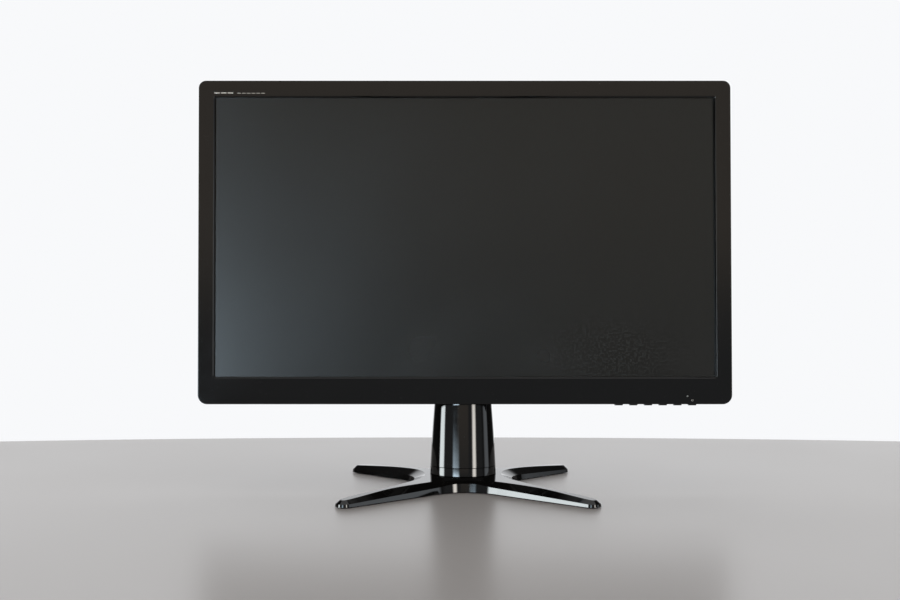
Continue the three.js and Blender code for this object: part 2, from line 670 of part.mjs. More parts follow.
function thumbScrew() {
  const head = rodZ(9, [4.6, 7.8], 0, BASE_SCREW_Y);
  const shank = rodZ(3, [7.7, 19], 0, BASE_SCREW_Y, 12);
  const grip = box([-9.5, 9.5], [BASE_SCREW_Y - 1, BASE_SCREW_Y + 1], [4, 5.6]);
  return cut(join(head, shank), grip);
}

function addBase() {
  add(stand, 'base_star', baseStar(), GLOSS_BLACK);
  add(stand, 'base_plate', basePlate(), STEEL);
  add(stand, 'base_screw', thumbScrew(), STEEL);
  const places = {
    front_left: [-110, -89.5], front_right: [110, -89.5], rear_left: [-100, 89.5], rear_right: [100, 89.5],
  };
  for (const [name, [x, y]] of Object.entries(places)) {
    add(stand, `rubber_foot_${name}`, rodZ(FOOT.radius, [0, FOOT.top], x, y), RUBBER);
  }
}

addPanel();
addHinge();
addColumn();
addBase();

export default monitor;
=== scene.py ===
"""The looks of a 21.5-inch desktop monitor on a tilting stand, built round its CAD frame.

Shapes are drawn in millimetres and turned into metres when they are placed. What belongs to the
panel is drawn in the panel's own frame: X across, Y from its face towards its back, Z up its face.
"""
import json
import math

import bmesh
import bpy
from mathutils import Matrix, Vector
from mathutils.geometry import delaunay_2d_cdt


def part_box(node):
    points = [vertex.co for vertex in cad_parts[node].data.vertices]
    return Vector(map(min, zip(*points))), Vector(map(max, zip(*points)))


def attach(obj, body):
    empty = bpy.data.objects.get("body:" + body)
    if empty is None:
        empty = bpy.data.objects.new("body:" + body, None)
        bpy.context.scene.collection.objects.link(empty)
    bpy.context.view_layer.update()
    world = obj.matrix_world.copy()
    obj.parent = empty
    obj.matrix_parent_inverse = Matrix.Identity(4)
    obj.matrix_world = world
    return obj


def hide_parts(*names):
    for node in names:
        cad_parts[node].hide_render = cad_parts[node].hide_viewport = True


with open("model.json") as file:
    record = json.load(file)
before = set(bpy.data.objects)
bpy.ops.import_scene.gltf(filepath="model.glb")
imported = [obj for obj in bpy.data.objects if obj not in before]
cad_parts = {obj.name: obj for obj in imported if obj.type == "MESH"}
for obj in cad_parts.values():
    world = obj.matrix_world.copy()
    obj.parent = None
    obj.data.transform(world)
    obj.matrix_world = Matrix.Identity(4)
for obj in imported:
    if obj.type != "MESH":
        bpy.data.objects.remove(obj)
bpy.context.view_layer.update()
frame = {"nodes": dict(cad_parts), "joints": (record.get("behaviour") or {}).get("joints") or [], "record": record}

MM = 0.001
scene = bpy.context.scene

# ------------------------------------------------------------------ driving dimensions, mm

GAP = 0.3
WALL = 2.2  # thickness of the moulded covers
PANEL = {"half": 255.0, "height": 310.0, "lower": 9.0, "upper": 7.0}
LIP = {"half": 239.2, "low": 26.0, "high": 293.9, "back": 2.4}
BEZEL_BACK = 11.0
BACK = 18.0  # the flat rim of the rear cover
BULGE = {"back": 42.0, "low": 24.0, "top": 237.0, "crest": 222.0, "half": 137.0, "crest_half": 124.0}
CHANNEL = {"half": 33.0, "floor": 17.5, "low": 10.0, "top": 96.0}
PAD = {"half": 58.0, "middle": 155.0, "height": 0.8, "hole": 50.0}
COVER_SCREWS = [(-116, 56), (116, 56), (-110, 206), (110, 206)]
VENT = {"pitch": 8, "width": 3.2, "reach": 96}
INLET_X, VGA_X, DVI_X = -80.0, 57.5, 95.0
KEYS = {"count": 6, "first": 147.1, "pitch": 14.05, "width": 7.9, "front": 3.2, "depth": 3.6}
KEY_PROUD = 1.2
KEY_ROOM = 0.35  # free room round a key in its slot
LAMP = {"x": 212.3, "z": 7.7, "radius": 0.9}
EAR = {"inner": 23.8, "outer": 26.3, "radius": 9.0}
COLUMN = {"foot": 11.0, "collar_top": 19.3, "top": 168.0}
STAR = {"bottom": 1.0, "wall": 1.8, "top": 11.0}
DRAFT = 0.155  # by which the star's wall leans in, for each unit of its height
BASE_SCREW_Y = 24.0
FRONT_TIP = {"x": 112.5, "y": -91.5, "radius": 8.5}
REAR_TIP = {"x": 102.3, "y": 91.5, "radius": 8.5}

# ------------------------------------------------------------------ places, from the frame

tilt_axis = [m for m in frame["record"]["mounts"] if m["name"] == "bracket_pad"][0]["axis"]
TILT = math.atan2(-tilt_axis[2], tilt_axis[1])
bezel_low, bezel_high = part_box("front_bezel")
panel_origin = (0, bezel_low.y, bezel_low.z + BEZEL_BACK * MM * math.sin(TILT))
IN_STAND = Matrix.Scale(MM, 4)
IN_PANEL = Matrix.Translation(panel_origin) @ Matrix.Rotation(-TILT, 4, "X") @ IN_STAND

hinge = [j for j in frame["joints"] if j["name"] == "panel_tilt"][0]["pos_m"]
HINGE_Y, HINGE_Z = hinge[1] / MM, hinge[2] / MM
hinge_in_panel = IN_PANEL.inverted() @ Vector(hinge)

# ------------------------------------------------------------------ camera

CAMERA_PLACE = (-0.0607, -1.447, 0.269)
CAMERA_DOWN = 3.4  # degrees below level
CAMERA_SHIFT = 0.0541  # the photograph is a crop whose middle lies to the right of the lens axis


def add_camera():
    camera = bpy.data.objects.new("camera", bpy.data.cameras.new("camera"))
    camera.data.lens = 60.3
    camera.data.sensor_width = 36
    camera.data.clip_start = 0.01
    camera.location = CAMERA_PLACE
    camera.data.shift_x = CAMERA_SHIFT
    camera.rotation_euler = (math.radians(90 - CAMERA_DOWN), 0, 0)
    scene.collection.objects.link(camera)
    scene.camera = camera


add_camera()

# ------------------------------------------------------------------ outlines


def arc(x, y, radius, start, end, steps):
    """Points on an arc, angles in degrees, both ends included."""
    angles = [math.radians(start + (end - start) * i / steps) for i in range(steps + 1)]
    return [(x + radius * math.cos(a), y + radius * math.sin(a)) for a in angles]


def rectangle(x0, x1, z0, z1, lower, upper=None, steps=8):
    """A rounded rectangle, counter-clockwise from its lower right corner."""
    upper = lower if upper is None else upper
    return (arc(x1 - lower, z0 + lower, lower, -90, 0, steps)
            + arc(x1 - upper, z1 - upper, upper, 0, 90, steps)
            + arc(x0 + upper, z1 - upper, upper, 90, 180, steps)
            + arc(x0 + lower, z0 + lower, lower, 180, 270, steps))


def circle(x, y, radius, steps=32):
    return arc(x, y, radius, 0, 360, steps)[:-1]


def curve(start, control, end, steps):
    """A quadratic curve without its first point."""
    points = []
    for i in range(1, steps + 1):
        t = i / steps
        weights = ((1 - t) ** 2, 2 * t * (1 - t), t * t)
        points.append(tuple(sum(w * p[k] for w, p in zip(weights, (start, control, end)))
                            for k in (0, 1)))
    return points


def fillet(steps):
    """Pairs (across, along) that turn a square corner into a quarter round of radius 1."""
    angles = [math.pi / 2 * i / steps for i in range(steps + 1)]
    return [(1 - math.cos(a), 1 - math.sin(a)) for a in angles]


# ------------------------------------------------------------------ solids


def make_object(name, points, faces):
    mesh = bpy.data.meshes.new(name)
    mesh.from_pydata([tuple(p) for p in points], [], faces)
    build = bmesh.new()
    build.from_mesh(mesh)
    bmesh.ops.remove_doubles(build, verts=build.verts, dist=1e-4)
    bmesh.ops.recalc_face_normals(build, faces=build.faces)
    build.to_mesh(mesh)
    build.free()
    obj = bpy.data.objects.new(name, mesh)
    scene.collection.objects.link(obj)
    return obj


def loft(rings, closed=False, top=None):
    """A skin over rings of 3-D points. Its ends are capped, or joined to each other when closed.

    Where top is given, the last ring is filled with a fine net whose heights it chooses."""
    count = len(rings[0])
    total = len(rings)
    points = [p for ring in rings for p in ring]
    faces = []
    for r in range(total if closed else total - 1):
        low, high = r * count, ((r + 1) % total) * count
        for i in range(count):
            j = (i + 1) % count
            faces.append((low + i, low + j, high + j, high + i))
    if not closed:
        faces.append(tuple(range(count - 1, -1, -1)))
        if top is None:
            faces.append(tuple(range((total - 1) * count, total * count)))
        else:
            net, cells = fine_net([Vector(p[:2]) for p in rings[-1]])
            faces += [tuple(i + len(points) for i in cell) for cell in cells]
            points += [(p.x, p.y, top(p)) for p in net]
    return make_object("solid", points, faces)


def fine_net(outline, pitch=4.0):
    """Triangles that fill an outline, over points of a grid that lie well inside it."""
    reach = [math.ceil(max(abs(p[i]) for p in outline) / pitch) for i in (0, 1)]
    inside = []
    for i in range(-reach[0], reach[0] + 1):
        for j in range(-reach[1], reach[1] + 1):
            p = Vector((i * pitch, j * pitch))
            if min((p - q).length for q in outline) > pitch * 0.4:
                inside.append(p)
    edges = [(i, (i + 1) % len(outline)) for i in range(len(outline))]
    net, _, cells, *_ = delaunay_2d_cdt(outline + inside, edges, [], 1, 1e-6)
    return net, cells


# Turns a point (a, b) of an outline and a distance d along an axis into X, Y and Z.
ALONG = {
    "X": lambda a, b, d: (d, a, b),
    "Y": lambda a, b, d: (a, d, b),
    "Z": lambda a, b, d: (a, b, d),
}


def prism(outline, axis, low, high):
    """An outline carried along an axis: (Y, Z) along X, (X, Z) along Y or (X, Y) along Z."""
    to_space = ALONG[axis]
    return loft([[to_space(a, b, d) for a, b in outline] for d in (low, high)])


def block(x, y, z):
    return prism([(x[0], y[0]), (x[1], y[0]), (x[1], y[1]), (x[0], y[1])], "Z", *z)


def lathe(profile, axis, centre, steps=48, ring=False):
    """A profile of (radius, distance) pairs turned round a line along an axis through centre."""
    to_space = ALONG[axis]
    rings = [[to_space(a, b, along) for a, b in circle(*centre, radius, steps)]
             for radius, along in profile]
    return loft(rings, closed=ring)


def settle(obj):
    """Applies the modifiers."""
    graph = bpy.context.evaluated_depsgraph_get()
    mesh = bpy.data.meshes.new_from_object(obj.evaluated_get(graph))
    obj.modifiers.clear()
    old, obj.data = obj.data, mesh
    bpy.data.meshes.remove(old)
    return obj


def discard(objects):
    for obj in objects:
        mesh = obj.data
        bpy.data.objects.remove(obj)
        bpy.data.meshes.remove(mesh)


def merge(objects):
    """One object out of several that don't touch."""
    build = bmesh.new()
    for obj in objects:
        build.from_mesh(obj.data)
    build.to_mesh(objects[0].data)
    build.free()
    discard(objects[1:])
    return objects[0]


def combine(obj, tools, operation):
    for tool in tools:
        modifier = obj.modifiers.new("combine", "BOOLEAN")
        modifier.operation = operation
        modifier.solver = "EXACT"
        modifier.object = tool
    settle(obj)
    discard(tools)
    return obj


def cut(obj, *tools):
    return combine(obj, list(tools), "DIFFERENCE")


def join(obj, *tools):
    return combine(obj, list(tools), "UNION")


def keep(obj, *tools):
    return combine(obj, list(tools), "INTERSECT")


def ease(obj, width, segments=2, angle=30):
    """Rounds the edges that turn by more than an angle in degrees."""
    modifier = obj.modifiers.new("ease", "BEVEL")
    modifier.width = width
    modifier.segments = segments
    modifier.limit_method = "ANGLE"
    modifier.angle_limit = math.radians(angle)
    return settle(obj)


# ------------------------------------------------------------------ placing


def place(obj, name, where, body, slot, nodes=(), smooth=32):
    """Puts a finished shape in the frame, on its body and in place of its CAD nodes."""
    obj.name = obj.data.name = name
    obj.data.transform(where)
    obj.data.shade_smooth()
    obj.data.set_sharp_from_angle(angle=math.radians(smooth))
    weighted = obj.modifiers.new("even shading", "WEIGHTED_NORMAL")
    weighted.keep_sharp = True
    obj.data.materials.clear()
    obj.data.materials.append(MATERIALS[slot])
    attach(obj, body)
    if nodes:
        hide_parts(*nodes)
    return obj


# ------------------------------------------------------------------ materials


class Graph:
    """Adds shader nodes in few words. An input is a number, a colour or another node's socket."""

    def __init__(self, tree):
        self.tree = tree

    def add(self, kind, inputs=None, **settings):
        node = self.tree.nodes.new(kind)
        for name, value in settings.items():
            setattr(node, name, value)
        for name, value in (inputs or {}).items():
            self.feed(node.inputs[name], value)
        return node

    def feed(self, socket, value):
        if isinstance(value, bpy.types.NodeSocket):
            self.tree.links.new(value, socket)
        else:
            socket.default_value = value

    def math(self, operation, *values):
        node = self.add("ShaderNodeMath", operation=operation)
        for socket, value in zip(node.inputs, values):
            self.feed(socket, value)
        return node.outputs[0]

    def noise(self, vector, scale, detail=3.0, roughness=0.5):
        inputs = {"Vector": vector, "Scale": scale, "Detail": detail, "Roughness": roughness}
        return self.add("ShaderNodeTexNoise", inputs).outputs["Fac"]

    def cells(self, vector, scale):
        return self.add("ShaderNodeTexVoronoi", {"Vector": vector, "Scale": scale}).outputs[0]

    def span(self, value, low, high, to_low=0.0, to_high=1.0):
        """Carries low..high smoothly to to_low..to_high, and holds the ends."""
        inputs = {"Value": value, "From Min": low, "From Max": high,
                  "To Min": to_low, "To Max": to_high}
        return self.add("ShaderNodeMapRange", inputs, interpolation_type="SMOOTHSTEP").outputs[0]

    def blend(self, share, first, second):
        node = self.add("ShaderNodeMix", data_type="RGBA")
        self.feed(node.inputs[0], share)
        self.feed(node.inputs[6], first)
        self.feed(node.inputs[7], second)
        return node.outputs[2]

    def bump(self, height, distance, strength=1.0):
        inputs = {"Height": height, "Distance": distance, "Strength": strength}
        return self.add("ShaderNodeBump", inputs).outputs[0]

    def stretch(self, vector, scale):
        node = self.add("ShaderNodeMapping", {"Vector": vector, "Scale": scale})
        return node.outputs[0]


def colour(r, g, b):
    return (r, g, b, 1.0)


def new_material(name, **fixed):
    """A material with its fixed socket values set; gives its graph, shader and coordinates."""
    made = bpy.data.materials.new(name)
    made.use_nodes = True
    shader = made.node_tree.nodes["Principled BSDF"]
    for socket, value in fixed.items():
        shader.inputs[socket.replace("_", " ")].default_value = value
    graph = Graph(made.node_tree)
    place_in_object = graph.add("ShaderNodeTexCoord").outputs["Object"]
    return made, graph, shader, place_in_object


def dust(graph, where, scale, share):
    """Specks: 1 on a few small grains, 0 between them."""
    grains = graph.span(graph.cells(where, scale), 0.05, 0.11, 1.0, 0.0)
    patches = graph.span(graph.noise(where, scale / 9, 2.0), 1 - share, 1 - share + 0.06)
    return graph.math("MULTIPLY", grains, patches)


def gloss_black():
    made, graph, shader, where = new_material("gloss_black", IOR=1.5)
    specks = dust(graph, where, 620, 0.42)
    smears = graph.noise(graph.stretch(where, (30, 30, 48)), 1.0, 5.0, 0.6)
    cloud = graph.noise(where, 35)
    tint = graph.blend(cloud, colour(0.0030, 0.0028, 0.0027), colour(0.0042, 0.0040, 0.0039))
    graph.feed(shader.inputs["Base Color"], graph.blend(specks, tint, colour(0.16, 0.155, 0.15)))
    rough = graph.span(smears, 0.35, 0.75, 0.035, 0.075)
    rough = graph.math("MAXIMUM", rough, graph.math("MULTIPLY", specks, 0.6))
    graph.feed(shader.inputs["Roughness"], rough)
    ripple = graph.noise(where, 95, 2.0)
    graph.feed(shader.inputs["Normal"], graph.bump(ripple, 0.00002, 0.35))
    return made


def satin_black():
    made, graph, shader, where = new_material("satin_black", IOR=1.47)
    grain = graph.noise(where, 2600, 3.0, 0.65)
    pits = graph.cells(where, 1500)
    handled = graph.noise(where, 16, 4.0, 0.6)
    tint = graph.blend(handled, colour(0.0125, 0.0125, 0.013), colour(0.0175, 0.0173, 0.0172))
    specks = dust(graph, where, 480, 0.38)
    graph.feed(shader.inputs["Base Color"], graph.blend(specks, tint, colour(0.12, 0.118, 0.113)))
    graph.feed(shader.inputs["Roughness"], graph.span(handled, 0.3, 0.7, 0.42, 0.54))
    height = graph.math("ADD", grain, graph.math("MULTIPLY", pits, 0.6))
    graph.feed(shader.inputs["Normal"], graph.bump(height, 0.00005, 0.5))
    return made


def screen_surface():
    """A matt polariser over a dark cell, with finger marks near the middle of its lower edge."""
    made, graph, shader, where = new_material("screen", IOR=1.5)
    haze = graph.noise(where, 7, 3.0, 0.55)
    axes = graph.add("ShaderNodeSeparateXYZ", {"Vector": where}).outputs
    marks = 0.0
    for x, z, wide, high, strength in ((-0.033, 0.137, 0.038, 0.030, 0.75),
                                       (0.012, 0.172, 0.046, 0.032, 0.45),
                                       (0.080, 0.127, 0.052, 0.024, 0.65)):
        across = graph.math("DIVIDE", graph.math("SUBTRACT", axes["X"], x), wide)
        up = graph.math("DIVIDE", graph.math("SUBTRACT", axes["Z"], z), high)
        reach = graph.math("ADD", graph.math("MULTIPLY", across, across), graph.math("MULTIPLY", up, up))
        marks = graph.math("ADD", marks, graph.span(reach, 0.0, 1.0, strength, 0.0))
    marks = graph.math("MULTIPLY", marks, graph.span(graph.noise(where, 30, 0.0), 0.2, 0.8, 0.4, 1.0))
    tint = graph.blend(haze, colour(0.0060, 0.0070, 0.0062), colour(0.0085, 0.0092, 0.0080))
    graph.feed(shader.inputs["Base Color"], graph.blend(marks, tint, colour(0.017, 0.019, 0.019)))
    graph.feed(shader.inputs["Roughness"], graph.span(haze, 0.3, 0.7, 0.215, 0.235))
    sparkle = graph.noise(where, 5200, 1.0)
    graph.feed(shader.inputs["Normal"], graph.bump(sparkle, 0.000004, 0.5))
    return made


def clear_plastic():
    made, graph, shader, where = new_material("clear_plastic", IOR=1.49, Transmission_Weight=0.55)
    milk = graph.noise(where, 900, 2.0)
    tint = graph.blend(milk, colour(0.62, 0.72, 0.72), colour(0.80, 0.86, 0.86))
    graph.feed(shader.inputs["Base Color"], tint)
    graph.feed(shader.inputs["Roughness"], graph.span(milk, 0.3, 0.7, 0.12, 0.24))
    return made


def white_film():
    made, graph, shader, where = new_material("white_film", IOR=1.45)
    haze = graph.noise(where, 60, 3.0)
    tint = graph.blend(haze, colour(0.72, 0.72, 0.69), colour(0.84, 0.84, 0.81))
    graph.feed(shader.inputs["Base Color"], tint)
    graph.feed(shader.inputs["Roughness"], graph.span(haze, 0.3, 0.7, 0.5, 0.65))
    graph.feed(shader.inputs["Normal"], graph.bump(graph.noise(where, 1200, 2.0), 0.00001))
    return made


def metal(name, dark, light, rough, grain):
    """Sheet or turned metal: cloudy plating, fine drawn lines along X, a few dull patches."""
    made, graph, shader, where = new_material(name, Metallic=1.0)
    cloud = graph.noise(where, 42, 4.0, 0.6)
    lines = graph.noise(graph.stretch(where, grain), 1.0, 4.0, 0.7)
    graph.feed(shader.inputs["Base Color"], graph.blend(cloud, dark, light))
    worn = graph.math("ADD", graph.math("MULTIPLY", cloud, 0.6), graph.math("MULTIPLY", lines, 0.4))
    graph.feed(shader.inputs["Roughness"], graph.span(worn, 0.3, 0.7, rough[0], rough[1]))
    graph.feed(shader.inputs["Normal"], graph.bump(lines, 0.00001, 0.6))
    return made


def circuit_board():
    """Solder mask over copper runs, with bare pads."""
    made, graph, shader, where = new_material("circuit_board", IOR=1.5)
    brick = graph.add("ShaderNodeTexBrick", {
        "Vector": where, "Scale": 190.0, "Mortar Size": 0.09,
        "Color1": colour(0, 0, 0), "Color2": colour(0.35, 0.35, 0.35), "Mortar": colour(1, 1, 1)})
    runs = graph.span(brick.outputs["Fac"], 0.3, 0.7)
    mask = graph.blend(runs, colour(0.008, 0.075, 0.026), colour(0.02, 0.15, 0.055))
    pads = graph.span(graph.cells(where, 380), 0.12, 0.17, 1.0, 0.0)
    graph.feed(shader.inputs["Base Color"], graph.blend(pads, mask, colour(0.55, 0.53, 0.48)))
    graph.feed(shader.inputs["Roughness"], graph.span(graph.noise(where, 140), 0.3, 0.7, 0.28, 0.42))
    graph.feed(shader.inputs["Normal"], graph.bump(runs, 0.00004))
    return made


def rubber():
    made, graph, shader, where = new_material("rubber", IOR=1.5)
    bloom = graph.noise(where, 220, 4.0, 0.65)
    tint = graph.blend(bloom, colour(0.009, 0.009, 0.009), colour(0.022, 0.021, 0.020))
    graph.feed(shader.inputs["Base Color"], tint)
    graph.feed(shader.inputs["Roughness"], graph.span(bloom, 0.3, 0.7, 0.78, 0.92))
    graph.feed(shader.inputs["Normal"], graph.bump(graph.noise(where, 1900, 3.0), 0.00006))
    return made


def yellow_tape():
    made, graph, shader, where = new_material("yellow_tape", IOR=1.45)
    wraps = graph.add("ShaderNodeTexWave", {"Vector": where, "Scale": 60.0, "Distortion": 0.6},
                      bands_direction="Z").outputs["Fac"]
    tint = graph.blend(wraps, colour(0.56, 0.36, 0.035), colour(0.74, 0.5, 0.07))
    graph.feed(shader.inputs["Base Color"], tint)
    graph.feed(shader.inputs["Roughness"], graph.span(graph.noise(where, 120), 0.3, 0.7, 0.35, 0.55))
    graph.feed(shader.inputs["Normal"], graph.bump(wraps, 0.00008))
    return made


ALONG_X = (30, 2400, 2400)
MATERIALS = {
    "gloss_black": gloss_black(),
    "satin_black": satin_black(),
    "screen": screen_surface(),
    "clear_plastic": clear_plastic(),
    "white_film": white_film(),
    "steel": metal("steel", colour(0.34, 0.35, 0.36), colour(0.46, 0.47, 0.47), (0.3, 0.48), ALONG_X),
    "bright_steel": metal("bright_steel", colour(0.5, 0.5, 0.5), colour(0.62, 0.62, 0.61), (0.16, 0.3),
                          ALONG_X),
    "aluminium": metal("aluminium", colour(0.42, 0.43, 0.45), colour(0.52, 0.53, 0.54), (0.34, 0.5),
                       ALONG_X),
    "circuit_board": circuit_board(),
    "rubber": rubber(),
    "yellow_tape": yellow_tape(),
}


def dress_cad_nodes():
    """Every CAD node takes its slot's finish; those that are rebuilt are hidden afterwards."""
    for row in frame["record"]["subparts"]:
        node = frame["nodes"][row["node"]]
        node.data.materials.clear()
        node.data.materials.append(MATERIALS[row["material_slot"]])


dress_cad_nodes()

# ------------------------------------------------------------------ panel: front


def frame_ring(depth, half, low, high, lower, upper=None):
    outline = rectangle(-half, half, low, high, lower, upper, 10)
    return [(x, depth, z) for x, z in outline]


def outer_ring(depth, inset):
    return frame_ring(depth, PANEL["half"] - inset, inset, PANEL["height"] - inset,
                      PANEL["lower"] - inset, PANEL["upper"] - inset)


def window_ring(depth, spread):
    """A ring round the screen, spread outwards from the lip."""
    return frame_ring(depth, LIP["half"] + spread, LIP["low"] - spread, LIP["high"] + spread,
                      0.8 + spread)


def front_bezel():
    edge = 0.6  # radius round the outside of the face
    rings = [outer_ring(BEZEL_BACK, 0)]
    rings += [outer_ring(edge * along, edge * across) for across, along in fillet(5)]
    slope, nose, turn = 1.35, 0.05, 0.3  # a chamfer at 45 degrees under a small radius
    start = slope + nose + turn * math.tan(math.radians(22.5))
    rings += [window_ring(turn * (1 - math.cos(a)), start - turn * math.sin(a))
              for a in (math.radians(i) for i in (0, 15, 30, 45))]
    rings += [window_ring(slope, nose), window_ring(slope + 0.15, 0), window_ring(LIP["back"], 0)]
    inner = PANEL["half"] - WALL
    rings += [frame_ring(depth, inner, WALL, PANEL["height"] - WALL, 7, 5)
              for depth in (LIP["back"], BEZEL_BACK)]
    bezel = loft(rings, closed=True)
    half = KEYS["width"] / 2 + KEY_ROOM
    front, back = KEYS["front"] - KEY_ROOM, KEYS["front"] + KEYS["depth"] + KEY_ROOM
    slots = merge([prism(rectangle(key_x(i) - half, key_x(i) + half, front, back, 0.5, steps=3),
                         "Z", -1, WALL + 1) for i in range(KEYS["count"])])
    lamp_hole = lathe([(LAMP["radius"] + 0.15, -1), (LAMP["radius"] + 0.15, 4)], "Y",
                      (LAMP["x"], LAMP["z"]), 24)
    bezel = cut(bezel, slots, lamp_hole)
    place(bezel, "front_bezel_moulding", IN_PANEL, "panel", "gloss_black", ["front_bezel"])


def key_x(index):
    return KEYS["first"] + index * KEYS["pitch"]


def key(index):
    x = key_x(index)
    half, back = KEYS["width"] / 2, KEYS["front"] + KEYS["depth"]
    cap = block((x - half, x + half), (KEYS["front"], back), (-KEY_PROUD, WALL + 0.4))
    cap = ease(cap, 0.55, 4)
    flange = block((x - half - 0.9, x + half + 0.9), (LIP["back"] + 0.4, back + 0.7),
                   (WALL + GAP, WALL + GAP + 0.9))
    name = f"button_{index + 1}"
    place(join(cap, flange), f"key_cap_{index + 1}", IN_PANEL, name, "gloss_black", [name])


def lamp_lens():
    radius = LAMP["radius"]
    profile = [(radius * 0.2, 0), (radius * 0.75, 0.06), (radius * 0.95, 0.2), (radius, 0.4),
               (radius, 2.7)]
    lens = lathe(profile, "Y", (LAMP["x"], LAMP["z"]), 32)
    place(lens, "power_lamp_lens", IN_PANEL, "panel", "clear_plastic", ["lamp_lens"])


def screen():
    glass = prism(rectangle(-246, 246, 17.6, 304, 0.6, steps=4), "Y", 3.8, 5)
    glass = ease(glass, 0.2, 2)
    place(glass, "screen_panel", IN_PANEL, "panel", "screen", ["lcd_glass"])


# ------------------------------------------------------------------ panel: back


def cover_rings(inset):
    """The rear cover's skin from its seam to the middle of its back, moved inwards by inset."""
    seam = BEZEL_BACK + GAP
    height, half = PANEL["height"], PANEL["half"]
    low, top, crest = BULGE["low"], BULGE["top"], BULGE["crest"]
    rings = [frame_ring(seam, half - inset, inset, height - inset, 9 - 0.9 * inset, 7 - 0.9 * inset),
             frame_ring(seam + 0.9, half - 0.15 - inset, 0.2 + inset, height - 0.2 - inset,
                        9 - 0.8 * inset, 7 - 0.8 * inset)]
    for across, along in fillet(5):
        rim = 0.5 + 2.4 * across + inset
        rings.append(frame_ring(seam + 1.3 + 2.4 * (1 - along) * 0.45 - 0.6 * inset, half - rim,
                                rim + 3.2 * across, height - rim, 9, 7))
    rings += [frame_ring(BACK - 1.3 - inset, half - 7 - inset, 15 + inset, height - 6 - inset, 11),
              frame_ring(BACK - 0.3 - inset, half - 9.5 - inset, 19 + inset, height - 8.5 - inset, 11.5),
              frame_ring(BACK - inset, half - 12 - inset, 21.5 + inset, height - 11 - inset, 12)]
    run = BULGE["back"] - BACK
    foot = 2.5
    for i in range(5):
        angle = math.radians(90 * i / 4)
        spread = foot * (1 - math.sin(angle))
        depth = foot * (1 - math.cos(angle))
        rings.append(bulge_ring(BACK - inset + depth, depth / run, spread - inset, low, top, crest))
    shoulder = 4.0
    for across, along in fillet(6):
        depth = run - shoulder * along
        rings.append(bulge_ring(BACK - inset + depth, depth / run, -shoulder * across - inset,
                                low, top, crest))
    kept = rings[:1]
    for ring in rings[1:]:  # the inside of the rim turns too sharply for some of them
        if ring[0][1] > kept[-1][0][1] - 0.001:
            kept.append(ring)
    return kept


def bulge_ring(depth, share, spread, low, top, crest):
    """One section of the bulge, share of the way from the flat rim to its back."""
    half = BULGE["half"] + (BULGE["crest_half"] - BULGE["half"]) * share
    high = top + (crest - top) * share
    return frame_ring(depth, half + spread, low - min(0.6, spread), high + min(spread, 2.5),
                      13 + 0.5 * spread)


def cover_tools():
    """What is cut out of the cover: sockets, vents, screw holes and bracket holes."""
    reach = (BULGE["low"] - 1, BULGE["low"] + WALL + 1)
    tools = [prism(rectangle(x0, x1, y0, y1, 0.8, steps=4), "Z", *reach) for x0, x1, y0, y1 in (
        (INLET_X - 14.3, INLET_X + 14.3, 19.6, 39.3), (VGA_X - 15.7, VGA_X + 15.7, 21.6, 34.7),
        (DVI_X - 18.8, DVI_X + 18.8, 21.6, 36.3), (-118, -111, 26, 29))]
    half = VENT["width"] / 2
    for x in range(-VENT["reach"], VENT["reach"] + 1, VENT["pitch"]):
        tools.append(prism(rectangle(x - half, x + half, 21.5, 36.5, half - 0.01, steps=6), "Z", 212, 245))
    for x, z in COVER_SCREWS:
        tools.append(lathe([(1.9, 0), (1.9, 38.5), (3.6, 38.5), (3.6, 50)], "Y", (x, z), 32))
    for x, z in pad_corners():
        tools.append(lathe([(2.2, 35), (2.2, 50)], "Y", (x, z), 32))
    for x, z in hinge_screw_places():
        tools.append(lathe([(2.3, 10), (2.3, 20)], "Y", (x, z), 24))
    return merge(tools)


def pad_corners():
    hole = PAD["hole"]
    return [(x, PAD["middle"] + z) for x in (-hole, hole) for z in (-hole, hole)]


def hinge_screw_places():
    return [(x, z) for x in (-14, 14) for z in (56, 88)]


def rear_cover():
    inside = cover_rings(WALL)
    mouth = [(x, y - 2, z) for x, y, z in inside[0]]
    shell = cut(loft(cover_rings(0)), loft([mouth] + inside))
    outer = CHANNEL["half"] + WALL
    walls = block((-outer, outer), (CHANNEL["floor"] - WALL, BULGE["back"] - 0.01),
                  (BULGE["low"] + 0.01, CHANNEL["top"] + WALL))
    pad = prism(rectangle(-PAD["half"], PAD["half"], PAD["middle"] - PAD["half"],
                          PAD["middle"] + PAD["half"], 4, steps=8),
                "Y", BULGE["back"] - 1, BULGE["back"] + PAD["height"])
    bosses = merge([lathe([(4.5, 12.2), (4.5, BULGE["back"] - 1)], "Y", (x, z), 32)
                    for x, z in COVER_SCREWS])
    room = prism(rectangle(-CHANNEL["half"], CHANNEL["half"], CHANNEL["low"], CHANNEL["top"], 0.5, 4),
                 "Y", CHANNEL["floor"], BULGE["back"] + 20)
    cover = join(shell, walls, pad, bosses)
    cover = cut(cover, room, cover_tools())
    cover = ease(cover, 0.3, 2, 38)
    place(cover, "rear_cover_moulding", IN_PANEL, "panel", "satin_black", ["rear_cover"])


def machine_screw(name, x, z, radii, reach, node):
    """A pan-head screw along Y. Radii are the head's and shank's, reach its end, seat and top."""
    head, shank = radii
    end, seat, top = reach
    screw = lathe([(shank - 0.4, end), (shank, end + 0.5), (shank, seat), (head, seat),
                   (head, top - 1.1), (head - 0.25, top - 0.5), (head - 1.0, top)], "Y", (x, z), 40)
    arm = head * 0.5
    cross = block((x - arm, x + arm), (top - 1.2, top + 1), (z - 0.45, z + 0.45))
    other = block((x - 0.45, x + 0.45), (top - 1.2, top + 1), (z - arm, z + arm))
    place(cut(screw, join(cross, other)), name, IN_PANEL, "panel", "steel", [node])


